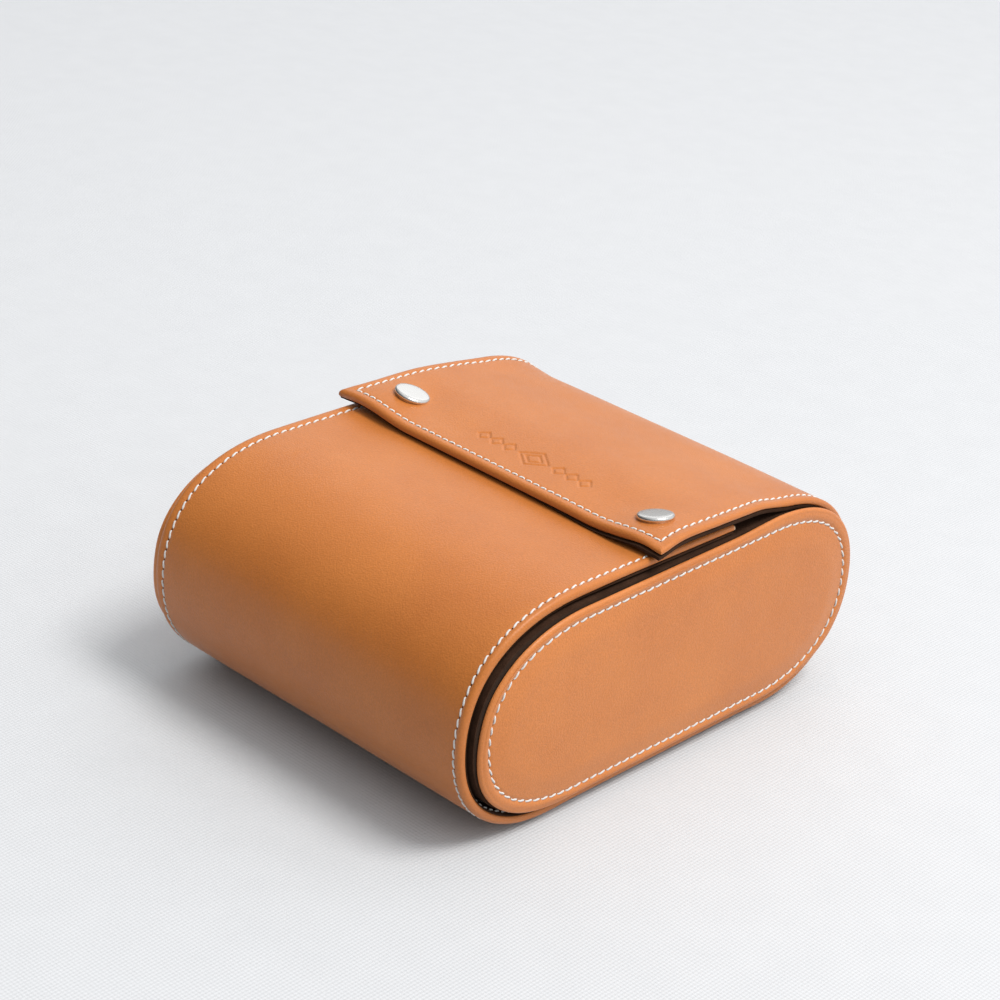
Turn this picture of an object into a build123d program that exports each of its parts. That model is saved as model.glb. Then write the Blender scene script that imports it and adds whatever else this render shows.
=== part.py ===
"""Leather jewellery case: an oval-ended case closed by a wrap, a front tongue and a snap-down flap.

The origin is the centre of the flat underside. X runs along the case from end panel to end panel,
-Y is the front and +Z is up. All sizes are in millimetres.
"""

import os

from build123d import *

# Outer skin of the wrap, seen along X: an oval with flat top and bottom and full, rounded ends.
# End fullness sets the shape of the ends: 0.55 gives half ellipses, and more gives squarer ends.
half_height = 39.8
half_depth = 95.0
flat_half = 45.0
end_fullness = 0.63
wrap_half_width = 72.0

# Layers of the wrap, from the outside in.
leather_thick = 1.4
board_thick = 1.0
lining_thick = 0.8
board_inset = leather_thick
lining_inset = board_inset + board_thick
wrap_thick = lining_inset + lining_thick
board_edge_margin = 2.0
lining_edge_margin = 1.2

# Stitching: the thread lies flush in a groove cut in the leather.
thread_thick = 0.45
thread_width = 0.6
groove_depth = 0.5
groove_width = 0.8
stitch_margin = 3.4
flap_stitch_margin = 3.8

# Front tongue, which slopes down a little towards the back, under the flap.
tongue_end_y = 27.0
tongue_drop = 1.0

# Flap, a little wider than the rest of the wrap, which climbs over the end of the tongue to the snaps.
flap_half_width = 73.5
flap_edge_y = -12.5
flap_back_rise = 1.2
flap_crest_y = 18.0
flap_crest_rise = 4.4
flap_front_rise = 5.0

# Snaps: two, near the front corners of the flap.
snap_x = 58.0
snap_y = 2.0
cap_radius = 6.25
cap_thick = 1.4
cap_edge_round = 0.8
shaft_radius = 1.5
shaft_clearance = 0.1
socket_radius = 5.5
socket_thick = 1.2
socket_roof = 0.3
socket_cavity_radius = 3.6
stud_base_radius = 4.5
stud_base_thick = 0.3
stud_head_radius = 2.2
stud_head_height = 1.0
stud_bore_depth = 0.9
rivet_radius = 4.5
rivet_thick = 0.5

# End panels: a leather cover over a board core, with suede behind and round the edge.
panel_inset = 4.5
panel_face_x = 74.5
cover_thick = 1.6
cover_edge_round = 1.2
core_thick = 3.0
facing_thick = 0.8
panel_stitch_margin = 4.5
rim_inset = 4.7
rim_thick = 0.7
rim_inner_x = 62.0

# Tray between the end panels.
tray_inset = rim_inset + rim_thick
tray_wall = 1.5
tray_lining_thick = 0.8
tray_top_z = 52.0
padding_top_z = 24.0

# What the tray holds.
divider_thick = 3.0
divider_x = -10.0
divider_top_z = 48.0
cross_divider_y = 0.0
ring_bed_top_z = 20.0
ring_bed_half_depth = 44.0
ring_roll_radius = 6.6
ring_roll_pitch = 14.0
ring_roll_count = 6
ring_roll_round = 3.0
ring_clearance = 1.0

mid_z = half_height
end_reach = half_depth - flat_half
top_z = 2 * half_height

# The squares that trim a band to one part of the oval are larger than the whole oval.
trim_size = 4 * half_depth

# The snap holes start below the wrap and end above it.
hole_depth = 2 * wrap_thick
hole_length = 3 * wrap_thick


def end_quarter(reach, rise):
    """Quarter of a rounded end, from its nose at mid-height to the flat top, at the back of the case."""
    with BuildLine() as curve:
        Bezier(
            (flat_half + reach, mid_z),
            (flat_half + reach, mid_z + end_fullness * rise),
            (flat_half + end_fullness * reach, mid_z + rise),
            (flat_half, mid_z + rise),
        )
    return curve.line


def oval(inset):
    """Face of the oval, a given distance inside the outer skin, drawn with Y across and Z up."""
    rise = half_height - inset
    with BuildSketch() as section:
        with BuildLine():
            add(end_quarter(end_reach - inset, rise))
            Line((flat_half, mid_z + rise), (0, mid_z + rise))
            mirror(about=Plane.YZ)
            mirror(about=Plane.XZ.offset(-mid_z))
        make_face()
    return section.sketch


def ring(outer_inset, inner_inset):
    """Band of the oval between two insets."""
    with BuildSketch() as section:
        add(oval(outer_inset))
        add(oval(inner_inset), mode=Mode.SUBTRACT)
    return section.sketch


def base_band(outer_inset, inner_inset):
    """Lower half of the oval band, from mid-front under the case to mid-back."""
    with BuildSketch() as section:
        add(ring(outer_inset, inner_inset))
        with Locations((0, mid_z)):
            Rectangle(trim_size, trim_size, align=(Align.CENTER, Align.MAX), mode=Mode.INTERSECT)
    return section.sketch


def front_curve_band(outer_inset, inner_inset):
    """Front upper quarter of the oval band."""
    with BuildSketch() as section:
        add(ring(outer_inset, inner_inset))
        with Locations((-flat_half, mid_z)):
            Rectangle(trim_size, trim_size, align=(Align.MAX, Align.MIN), mode=Mode.INTERSECT)
    return section.sketch


def tongue_band(outer_inset, inner_inset):
    """Straight run of the tongue over the front half of the top."""
    with BuildSketch() as section:
        with BuildLine():
            Polyline(
                (-flat_half, top_z - outer_inset),
                (tongue_end_y, top_z - tongue_drop - outer_inset),
                (tongue_end_y, top_z - tongue_drop - inner_inset),
                (-flat_half, top_z - inner_inset),
                close=True,
            )
        make_face()
    return section.sketch


def flap_outline(inset):
    """Everything under one skin of the flap: a rounded back quarter, a climb and a nearly level run."""
    reach = end_reach - inset
    rise = half_height + flap_back_rise - inset
    with BuildSketch() as section:
        with BuildLine():
            add(end_quarter(reach, rise))
            Polyline(
                (flat_half, mid_z + rise),
                (flap_crest_y, top_z + flap_crest_rise - inset),
                (flap_edge_y, top_z + flap_front_rise - inset),
                (flap_edge_y, mid_z),
                (flat_half + reach, mid_z),
            )
        make_face()
    return section.sketch


def flap_band(outer_inset, inner_inset):
    """Band of the flap between two insets, without the strip that closes it at its front edge."""
    with BuildSketch() as section:
        add(flap_outline(outer_inset))
        add(flap_outline(inner_inset), mode=Mode.SUBTRACT)
    return section.sketch


def sheet(band, outer_inset, inner_inset, half_width):
    """A wrap layer: one band extruded to a width centred on the case."""
    with BuildPart() as layer:
        with BuildSketch(Plane.YZ.offset(-half_width)):
            add(band(outer_inset, inner_inset))
        extrude(amount=2 * half_width)
    return layer.part


def side_rows(band, depth, width, row_distance=wrap_half_width - stitch_margin):
    """Two strips along the side edges of the wrap, for the stitch grooves or the thread in them."""
    with BuildPart() as rows:
        for row_x in (-row_distance, row_distance):
            with BuildSketch(Plane.YZ.offset(row_x - width / 2)):
                add(band(0, depth))
            extrude(amount=width)
    return rows.part


# Base of the wrap.
with BuildPart() as base_leather:
    add(sheet(base_band, 0, board_inset, wrap_half_width))
    add(side_rows(base_band, groove_depth, groove_width), mode=Mode.SUBTRACT)

with BuildPart() as base_board:
    add(sheet(base_band, board_inset, lining_inset, wrap_half_width - board_edge_margin))

with BuildPart() as base_lining:
    add(sheet(base_band, lining_inset, wrap_thick, wrap_half_width - lining_edge_margin))

with BuildPart() as base_thread:
    add(side_rows(base_band, thread_thick, thread_width))

with BuildPart() as base_padding:
    add(sheet(base_band, wrap_thick, tray_inset, rim_inner_x))
    split(bisect_by=Plane.XY.offset(padding_top_z), keep=Keep.BOTTOM)

# Front curve of the wrap.
with BuildPart() as front_curve_leather:
    add(sheet(front_curve_band, 0, board_inset, wrap_half_width))
    add(side_rows(front_curve_band, groove_depth, groove_width), mode=Mode.SUBTRACT)

with BuildPart() as front_curve_board:
    add(sheet(front_curve_band, board_inset, lining_inset, wrap_half_width - board_edge_margin))

with BuildPart() as front_curve_lining:
    add(sheet(front_curve_band, lining_inset, wrap_thick, wrap_half_width - lining_edge_margin))

with BuildPart() as front_curve_thread:
    add(side_rows(front_curve_band, thread_thick, thread_width))

# Planes of the tongue and of the flap at the snaps, square to the leather.
tongue_fall = tongue_drop / (tongue_end_y + flat_half)
tongue_snap_z = top_z - tongue_fall * (snap_y + flat_half)
tongue_plane = Plane(origin=(0, snap_y, tongue_snap_z), x_dir=(1, 0, 0), z_dir=(0, tongue_fall, 1))
flap_climb = (flap_front_rise - flap_crest_rise) / (flap_crest_y - flap_edge_y)
flap_snap_z = top_z + flap_crest_rise + flap_climb * (flap_crest_y - snap_y)
flap_plane = Plane(origin=(0, snap_y, flap_snap_z), x_dir=(1, 0, 0), z_dir=(0, flap_climb, 1))


def snap_holes(plane):
    """Two holes for the snap shafts, square to the given plane and running through the wrap."""
    with BuildPart() as holes:
        with BuildSketch(plane.offset(-hole_depth)):
            with Locations((-snap_x, 0), (snap_x, 0)):
                Circle(shaft_radius + shaft_clearance)
        extrude(amount=hole_length)
    return holes.part


# Front tongue.
with BuildPart() as tongue_leather:
    add(sheet(tongue_band, 0, board_inset, wrap_half_width))
    add(side_rows(tongue_band, groove_depth, groove_width), mode=Mode.SUBTRACT)
    add(snap_holes(tongue_plane), mode=Mode.SUBTRACT)

with BuildPart() as tongue_board:
    add(sheet(tongue_band, board_inset, lining_inset, wrap_half_width - board_edge_margin))
    add(snap_holes(tongue_plane), mode=Mode.SUBTRACT)

with BuildPart() as tongue_lining:
    add(sheet(tongue_band, lining_inset, wrap_thick, wrap_half_width - lining_edge_margin))
    add(snap_holes(tongue_plane), mode=Mode.SUBTRACT)

with BuildPart() as tongue_thread:
    add(side_rows(tongue_band, thread_thick, thread_width))

# Studs stand on the tongue; the posts come up through it and into the studs.
with BuildPart() as snap_studs:
    with BuildSketch(tongue_plane):
        with Locations((-snap_x, 0), (snap_x, 0)):
            Circle(stud_base_radius)
    extrude(amount=stud_base_thick)
    with BuildSketch(tongue_plane):
        with Locations((-snap_x, 0), (snap_x, 0)):
            Circle(stud_head_radius)
    extrude(amount=stud_base_thick + stud_head_height)
    with BuildSketch(tongue_plane):
        with Locations((-snap_x, 0), (snap_x, 0)):
            Circle(shaft_radius)
    extrude(amount=stud_bore_depth, mode=Mode.SUBTRACT)

with BuildPart() as snap_posts:
    with BuildSketch(tongue_plane.offset(-wrap_thick)):
        with Locations((-snap_x, 0), (snap_x, 0)):
            Circle(rivet_radius)
    extrude(amount=-rivet_thick)
    with BuildSketch(tongue_plane.offset(-wrap_thick)):
        with Locations((-snap_x, 0), (snap_x, 0)):
            Circle(shaft_radius)
    extrude(amount=wrap_thick + stud_bore_depth)

# Flap.
flap_stitch_y = flap_edge_y + flap_stitch_margin
flap_stitch_half = flap_half_width - flap_stitch_margin


def flap_front_row(depth, width):
    """Strip across the flap just behind its front edge, between the two side rows."""
    with BuildPart() as row:
        with BuildSketch(Plane.YZ.offset(-flap_stitch_half - width / 2)):
            add(flap_band(0, depth))
            with Locations((flap_stitch_y, mid_z)):
                Rectangle(width, trim_size, mode=Mode.INTERSECT)
        extrude(amount=2 * flap_stitch_half + width)
    return row.part


def flap_side_rows(depth, width):
    """Two strips along the sides of the flap, ending at the front row."""
    with BuildPart() as rows:
        add(side_rows(flap_band, depth, width, flap_stitch_half))
        split(bisect_by=Plane.XZ.offset(width / 2 - flap_stitch_y), keep=Keep.BOTTOM)
    return rows.part


with BuildPart() as flap_leather:
    add(sheet(flap_band, 0, board_inset, flap_half_width))
    add(flap_side_rows(groove_depth, groove_width), mode=Mode.SUBTRACT)
    add(flap_front_row(groove_depth, groove_width), mode=Mode.SUBTRACT)
    add(snap_holes(flap_plane), mode=Mode.SUBTRACT)

with BuildPart() as flap_board:
    add(sheet(flap_band, board_inset, lining_inset, flap_half_width - board_edge_margin))
    add(snap_holes(flap_plane), mode=Mode.SUBTRACT)

with BuildPart() as flap_lining:
    add(sheet(flap_band, lining_inset, wrap_thick, flap_half_width - lining_edge_margin))
    add(snap_holes(flap_plane), mode=Mode.SUBTRACT)

with BuildPart() as flap_thread:
    add(flap_side_rows(thread_thick, thread_width))
    add(flap_front_row(thread_thick, thread_width))

# Caps sit on the flap, and their shafts go down through it into the sockets.
with BuildPart() as snap_caps:
    with BuildSketch(flap_plane):
        with Locations((-snap_x, 0), (snap_x, 0)):
            Circle(cap_radius)
    extrude(amount=cap_thick)
    fillet(snap_caps.edges().group_by(Axis.Z)[-1], cap_edge_round)
    with BuildSketch(flap_plane):
        with Locations((-snap_x, 0), (snap_x, 0)):
            Circle(shaft_radius)
    extrude(amount=-(wrap_thick + socket_roof))

with BuildPart() as snap_sockets:
    with BuildSketch(flap_plane.offset(-wrap_thick)):
        with Locations((-snap_x, 0), (snap_x, 0)):
            Circle(socket_radius)
            Circle(shaft_radius, mode=Mode.SUBTRACT)
    extrude(amount=-socket_thick)
    with BuildSketch(flap_plane.offset(-wrap_thick - socket_roof)):
        with Locations((-snap_x, 0), (snap_x, 0)):
            Circle(socket_cavity_radius)
    extrude(amount=-socket_thick, mode=Mode.SUBTRACT)

# End panels, modelled at the right-hand end.
cover_inner_x = panel_face_x - cover_thick
core_inner_x = cover_inner_x - core_thick
facing_inner_x = core_inner_x - facing_thick
panel_groove_inset = panel_inset + panel_stitch_margin

with BuildPart() as end_leather:
    with BuildSketch(Plane.YZ.offset(cover_inner_x)):
        add(oval(panel_inset))
    extrude(amount=cover_thick)
    fillet(end_leather.faces().sort_by(Axis.X)[-1].edges(), cover_edge_round)
    with BuildSketch(Plane.YZ.offset(panel_face_x - groove_depth)):
        add(ring(panel_groove_inset - groove_width / 2, panel_groove_inset + groove_width / 2))
    extrude(amount=groove_depth, mode=Mode.SUBTRACT)

with BuildPart() as end_thread:
    with BuildSketch(Plane.YZ.offset(panel_face_x - thread_thick)):
        add(ring(panel_groove_inset - thread_width / 2, panel_groove_inset + thread_width / 2))
    extrude(amount=thread_thick)

with BuildPart() as end_board:
    with BuildSketch(Plane.YZ.offset(core_inner_x)):
        add(oval(tray_inset))
    extrude(amount=core_thick)

with BuildPart() as end_suede:
    with BuildSketch(Plane.YZ.offset(facing_inner_x)):
        add(oval(tray_inset))
    extrude(amount=facing_thick)

with BuildPart() as end_rim:
    with BuildSketch(Plane.YZ.offset(rim_inner_x)):
        add(ring(rim_inset, tray_inset))
    extrude(amount=cover_inner_x - rim_inner_x)

# Tray.
tray_half_width = facing_inner_x
tray_lining_inset = tray_inset + tray_wall
tray_floor_inset = tray_lining_inset + tray_lining_thick


def trough(outer_inset, inner_inset):
    """Open-topped trough that follows the lower part of the oval."""
    with BuildPart() as shell:
        add(sheet(ring, outer_inset, inner_inset, tray_half_width))
        split(bisect_by=Plane.XY.offset(tray_top_z), keep=Keep.BOTTOM)
    return shell.part


with BuildPart() as tray_shell:
    add(trough(tray_inset, tray_lining_inset))

with BuildPart() as tray_lining:
    add(trough(tray_lining_inset, tray_floor_inset))

# Dividers: one across the whole depth and one between it and the left-hand end.
with BuildPart() as centre_divider:
    with BuildSketch(Plane.YZ.offset(divider_x)):
        add(oval(tray_floor_inset))
    extrude(amount=divider_thick)
    split(bisect_by=Plane.XY.offset(divider_top_z), keep=Keep.BOTTOM)

with BuildPart() as cross_divider:
    with BuildSketch(Plane.XZ.offset(-cross_divider_y - divider_thick / 2)):
        with Locations((divider_x, tray_floor_inset)):
            Rectangle(
                tray_half_width + divider_x,
                divider_top_z - tray_floor_inset,
                align=(Align.MAX, Align.MIN),
            )
    extrude(amount=divider_thick)

# Ring holder: a padded bed with rolls side by side; rings slide in between the rolls.
ring_low_x = divider_x + divider_thick + ring_clearance
ring_length = tray_half_width - ring_clearance - ring_low_x

with BuildPart() as ring_bed:
    with BuildSketch(Plane.XY.offset(tray_floor_inset)):
        with Locations((ring_low_x, 0)):
            Rectangle(ring_length, 2 * ring_bed_half_depth, align=(Align.MIN, Align.CENTER))
    extrude(amount=ring_bed_top_z - tray_floor_inset)
    fillet(ring_bed.edges().filter_by(Axis.Z), ring_roll_round)

with BuildPart() as ring_rolls:
    with BuildSketch(Plane.YZ.offset(ring_low_x)):
        with Locations((0, ring_bed_top_z + ring_roll_radius)):
            with GridLocations(ring_roll_pitch, 0, ring_roll_count, 1):
                Circle(ring_roll_radius)
    extrude(amount=ring_length)
    fillet(ring_rolls.edges().filter_by(GeomType.CIRCLE), ring_roll_round)


pieces = {
    "base_leather": base_leather.part,
    "base_board": base_board.part,
    "base_lining": base_lining.part,
    "base_thread": base_thread.part,
    "base_padding": base_padding.part,
    "front_curve_leather": front_curve_leather.part,
    "front_curve_board": front_curve_board.part,
    "front_curve_lining": front_curve_lining.part,
    "front_curve_thread": front_curve_thread.part,
    "tongue_leather": tongue_leather.part,
    "tongue_board": tongue_board.part,
    "tongue_lining": tongue_lining.part,
    "tongue_thread": tongue_thread.part,
    "snap_studs": snap_studs.part,
    "snap_posts": snap_posts.part,
    "flap_leather": flap_leather.part,
    "flap_board": flap_board.part,
    "flap_lining": flap_lining.part,
    "flap_thread": flap_thread.part,
    "snap_caps": snap_caps.part,
    "snap_sockets": snap_sockets.part,
    "tray_shell": tray_shell.part,
    "tray_lining": tray_lining.part,
    "centre_divider": centre_divider.part,
    "cross_divider": cross_divider.part,
    "ring_bed": ring_bed.part,
    "ring_rolls": ring_rolls.part,
}
for name, panel in (
    ("end_leather", end_leather.part),
    ("end_board", end_board.part),
    ("end_suede", end_suede.part),
    ("end_rim", end_rim.part),
    ("end_thread", end_thread.part),
):
    pieces["right_" + name] = panel
    pieces["left_" + name] = panel.mirror(Plane.YZ)

os.makedirs("parts", exist_ok=True)
for name, piece in pieces.items():
    piece.label = name
    export_step(piece, f"parts/{name}.step")
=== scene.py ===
"""Looks of the leather jewellery case: leather wrap, padded end panels, suede, stitching and snaps."""

import math

import bpy
import bmesh
import numpy as np
from mathutils import Matrix, Vector


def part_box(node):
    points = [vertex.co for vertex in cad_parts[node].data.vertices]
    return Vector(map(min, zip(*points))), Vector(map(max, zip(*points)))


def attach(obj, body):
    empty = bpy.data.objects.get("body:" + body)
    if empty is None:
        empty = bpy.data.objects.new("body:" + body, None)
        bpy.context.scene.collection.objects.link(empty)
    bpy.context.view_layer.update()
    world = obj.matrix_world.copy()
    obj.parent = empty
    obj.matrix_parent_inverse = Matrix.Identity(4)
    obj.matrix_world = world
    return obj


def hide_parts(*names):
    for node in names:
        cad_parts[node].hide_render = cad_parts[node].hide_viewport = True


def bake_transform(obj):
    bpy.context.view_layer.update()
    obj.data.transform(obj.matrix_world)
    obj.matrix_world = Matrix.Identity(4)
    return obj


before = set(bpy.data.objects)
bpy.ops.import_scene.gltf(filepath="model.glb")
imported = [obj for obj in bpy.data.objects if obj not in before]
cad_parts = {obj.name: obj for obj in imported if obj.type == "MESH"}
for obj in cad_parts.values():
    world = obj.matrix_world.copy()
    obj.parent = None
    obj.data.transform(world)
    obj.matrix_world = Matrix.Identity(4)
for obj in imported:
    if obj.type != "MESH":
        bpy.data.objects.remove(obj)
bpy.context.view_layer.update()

# Everything below is worked out in millimetres and turned into metres when a mesh is made.
mm = 0.001


def box(node):
    """Lowest and highest corner of a CAD node, in millimetres."""
    low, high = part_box(node)
    return np.array(low) / mm, np.array(high) / mm


# ---- construction of the leather
end_fullness = 0.63
wrap_thick = 3.2
skin_thick = 1.4
board_thick = 1.0
edge_round = 1.55
lip_width = 1.9
edge_band = 9.0
stitch_margin = 3.4
flap_margin = 3.8
thread_radius = 0.30
thread_stand = 0.45
side_pitch = 3.6
flap_pitch = 3.3
panel_pitch = 3.8
tray_suede = 0.8
roll_count = 6

# ---- sizes taken from the CAD frame
wrap_half, half_depth, mid_z = box("base_leather")[1]
top_z = 2 * mid_z
flat_half = -box("tongue_leather")[0][1]
tongue_end_y = box("tongue_leather")[1][1]
tongue_drop = top_z - box("tongue_thread")[0][2] - thread_stand
flap_edge_y = box("flap_leather")[0][1]
(panel_back, _, panel_inset), (panel_face, _, _) = box("right_end_leather")
panel_stitch = box("right_end_thread")[0][2] + thread_radius
panel_groove = panel_stitch - panel_inset
rim_inner, _, rim_inset = box("right_end_rim")[0]
tray_inset = box("right_end_board")[0][2]


def quarter(reach, rise, steps=90):
    """Quarter of the oval, from its nose to the flat, relative to the end of the flat."""
    t = np.linspace(0, 1, steps)[:, None]
    corners = [(reach, 0), (reach, end_fullness * rise), (end_fullness * reach, rise), (0, rise)]
    weights = [(1 - t) ** 3, 3 * (1 - t) ** 2 * t, 3 * (1 - t) * t**2, t**3]
    return sum(w * np.array(c) for w, c in zip(weights, corners))


def smooth(none, full, value):
    """0 at none, 1 at full and a smooth change between; full may be the lower of the two."""
    t = np.clip((value - none) / (full - none), 0, 1)
    return t * t * (3 - 2 * t)


def bell(value, width):
    return np.exp(-((value / width) ** 2))


def unit(vectors):
    return vectors / np.linalg.norm(vectors, axis=-1, keepdims=True)


def run_along(points):
    """Length from the first point to each of the points."""
    return np.r_[0, np.cumsum(np.hypot(*np.diff(points, axis=0).T))]


class Path:
    """A curve in the Y-Z plane, followed by length from its first point."""

    def __init__(self, points, blur=0.0, step=0.25):
        points = np.asarray(points, float)
        points = points[np.r_[True, np.hypot(*np.diff(points, axis=0).T) > 1e-6]]
        run = run_along(points)
        even = np.linspace(0, run[-1], int(run[-1] / step) + 1)
        points = np.c_[np.interp(even, run, points[:, 0]), np.interp(even, run, points[:, 1])]
        if blur:
            reach = int(3 * blur / step)
            kernel = np.exp(-0.5 * (np.arange(-reach, reach + 1) * step / blur) ** 2)
            kernel /= kernel.sum()
            before = 2 * points[0] - points[reach:0:-1]
            after = 2 * points[-1] - points[-2 : -reach - 2 : -1]
            padded = np.vstack([before, points, after])
            points = np.c_[[np.convolve(padded[:, k], kernel, "valid") for k in (0, 1)]].T
        self.points = points
        self.run = run_along(points)
        self.length = self.run[-1]
        self.tangents = unit(np.gradient(points, self.run, axis=0))

    def at(self, v):
        """Points and outward normals at lengths v."""
        y, z, ty, tz = [np.interp(v, self.run, values) for values in (*self.points.T, *self.tangents.T)]
        size = np.hypot(ty, tz)
        return np.stack([y, z], -1), np.stack([tz / size, -ty / size], -1)

    def nearest(self, y, z):
        """Length at which the path passes closest to a point."""
        return self.run[np.argmin(np.hypot(self.points[:, 0] - y, self.points[:, 1] - z))]


# The flap lies on the tongue: it rises over the back, then runs level to its edge.
flap_rise = 1.2
flap_level = 84.3
flap_high = 84.5
flap_line = [(44.0, 81.5), (31.0, 82.8), (20.0, 83.85), (9.0, 84.4), (0.0, flap_high), (flap_edge_y - 6, flap_high)]


def wrap_path():
    """The outer skin in one line: from the tongue forward, down, under, up the back and over."""
    reach = half_depth - flat_half
    side = quarter(reach, mid_z)
    front = np.vstack([side[::-1] * (-1, 1), -side]) + (-flat_half, mid_z)
    back_low = side[::-1] * (1, -1) + (flat_half, mid_z)
    back_top = quarter(reach, mid_z + flap_rise) + (flat_half, mid_z)
    back_top = back_top[back_top[:, 0] > 55]
    return Path([(tongue_end_y, top_z - tongue_drop), *front, *back_low, *back_top, *flap_line], blur=2.2)


wrap = wrap_path()
v_top_fold = wrap.nearest(-flat_half, top_z)
v_front = wrap.nearest(-half_depth, mid_z)
v_low_front = wrap.nearest(-flat_half, 0)
v_bottom = wrap.nearest(0, 0)
v_low_back = wrap.nearest(flat_half, 0)
v_back = wrap.nearest(half_depth, mid_z)
v_back_top = wrap.nearest(flat_half, top_z + flap_rise)
v_seam = 0.5 * (v_top_fold + v_front)
v_flap_edge = wrap.nearest(flap_edge_y, flap_high)

# The snap caps sit a little askew, with the flap.
cap_places = (-56.9, 59.4)
cap_depths = (4.4, 2.1)
v_caps = [wrap.nearest(y, flap_level) for y in cap_depths]
cap_normals = ((0.22, 0.225, 1.0), (-0.187, 0.089, 1.0))

# How much the wrap widens over the flap, and what hand work pulled out of line.
flap_flare, edge_flare = 2.2, 1.0
front_stretch = corner_pull = 1.1
closer_stitches = 0.7
flap_skew = 0.014

# Heights and depths of the relief.
groove_depth, seam_swell, unevenness = 0.32, 0.12, 0.16
flap_sag, tongue_dip = 2.1, 0.9
back_fall, back_fall_right, back_lift = 1.4, 0.5, 0.8
corner_curl, edge_press = 0.6, 0.4
cap_dent, cap_lean, motif_press = 0.12, 0.45, 0.42
under_lift, under_lift_right = 0.9, 0.6


def half_width(v):
    """Half the width of the wrap at length v, a little more over the flap."""
    flare = smooth(v_back_top - 8, v_back_top + 34, v)
    return wrap_half + flap_flare * flare + edge_flare * smooth(v_flap_edge - 16, v_flap_edge, v)


def margin_at(x, v):
    """Distance from the side edge to the stitching, a little less at the right of the front."""
    closer = closer_stitches * smooth(0, 10, x) * smooth(v_bottom, v_bottom - 30, v)
    return stitch_margin - closer + (flap_margin - stitch_margin) * smooth(v_back, v_back_top, v)


def ripple(x, v, seed):
    """Slow unevenness of hand-glued leather, about -1 to 1."""
    total = 0
    for k in range(1, 6):
        a = math.sin(12.9898 * k + seed) * 43.5
        total = total + math.sin(a) * np.sin(x * 0.031 * k + a) * np.cos(v * 0.023 * k + 2 * a) / k
    return total / 1.6


# Blind-pressed ornament on the flap: a double lozenge between rows of small ones.
motif_x = motif_y = 3.5
motif_half = 27.5
motif_line = 0.40
motif_step = 0.36
v_motif = wrap.nearest(motif_y, flap_level)
lozenges = [(0, 6.6, 5.0), (0, 3.6, 2.7)]
lozenges += [(side * place, 2.5, 2.5) for side in (-1, 1) for place in (11.5, 17.5, 23.5)]


def motif_depth(x, v):
    """How deeply the ornament is pressed at a point, 0 to 1."""
    dx, dv = x - motif_x, v - v_motif
    lines = 0
    for centre, wide, high in lozenges:
        off_line = (np.abs(dx - centre) / wide + np.abs(dv) / high - 1) * wide * high / math.hypot(wide, high)
        lines = np.maximum(lines, bell(off_line, motif_line))
    return lines


def relief(x, v):
    """Height of the leather above its plain path: grooves, rolled edges, sag and wear."""
    flap = smooth(v_back, v_back_top, v)
    margin = margin_at(x, v)
    sides = half_width(v) - np.abs(x)
    inward = np.minimum(sides, np.where(v > v_bottom, v_flap_edge - v, v))
    stitched = np.where(v > v_bottom, inward, sides)
    h = -groove_depth * bell(stitched - margin, 0.6)
    h = h + seam_swell * bell(stitched - margin * 0.5, 1.3)
    h = h + seam_swell * smooth(margin, margin + 6, stitched)
    h = h + unevenness * ripple(x, v, 1.0) * smooth(2, 14, inward)
    # The flap hangs between its two snaps, and its back is drawn tight except at the left.
    to_edge = v_flap_edge - v
    h = h - flap_sag * smooth(66, 42, np.abs(x)) * smooth(38, 5, to_edge) * flap
    rounding = smooth(v_back - 5, v_back + 12, v) * smooth(v_back_top + 8, v_back_top - 12, v)
    h = h - (back_fall * smooth(-76, -56, x) + back_fall_right * smooth(20, 70, x)) * rounding
    h = h + back_lift * smooth(-54, -74, x) * flap * smooth(15, 45, to_edge)
    # Its corners curl down to a point, and at the right its front edge is pressed towards the tongue.
    corner = np.hypot(np.abs(x) - half_width(v), to_edge)
    h = h - corner_curl * smooth(8, 0, corner) * flap
    h = h - edge_press * smooth(28, 56, x) * smooth(12, 1, to_edge) * flap
    # The snap caps press it in.
    for cap_x, v_cap, lean in zip(cap_places, v_caps, cap_normals):
        away = np.hypot(x - cap_x, v - v_cap)
        h = h - cap_dent * smooth(9.0, 5.5, away) * flap
        h = h + cap_lean * (lean[1] * (v - v_cap) - lean[0] * (x - cap_x)) * bell(away, 10.0) * flap
    h = h - motif_press * motif_depth(x, v) * flap
    # The underside lifts a little towards the ends.
    under = smooth(v_low_front - 25, v_low_front + 5, v) * smooth(v_low_back + 25, v_low_back - 5, v)
    h = h - (under_lift + under_lift_right * smooth(0, 60, x)) * smooth(16, 1, sides) * under
    # The tongue dips in the middle, under the flap.
    tongue = smooth(v_top_fold, v_top_fold - 30, v)
    return h - tongue_dip * smooth(72, 52, np.abs(x)) * tongue


def skewed(x, v):
    """The flap was sewn out of square: its right side reaches a little further forward."""
    return v + flap_skew * x * smooth(v_flap_edge - 60, v_flap_edge, v)


def raised(x, flat, normal, height):
    """Points at x on a profile in the Y-Z plane, raised along its normals."""
    return np.concatenate([x[..., None], flat + normal * height[..., None]], -1)


def surface(x, v, depth=0.0):
    """Points of the leather's outer face (or of a face a given depth below it)."""
    x, v = np.broadcast_arrays(np.asarray(x, float), np.asarray(v, float))
    flat, normal = wrap.at(skewed(x, v))
    height = relief(x, v) - depth
    # At the left, the front of the wrap is cut a little wider outside its stitching.
    left = half_width(v) + x
    x = x - front_stretch * smooth(4.5, 0, left) * smooth(v_front + 25, v_front - 10, v)
    # The left front corner of the flap is pulled out to a point.
    x = x - corner_pull * smooth(9, 0, np.hypot(left, v_flap_edge - v)) * (v > v_bottom)
    return raised(x, flat, normal, height)


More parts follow.
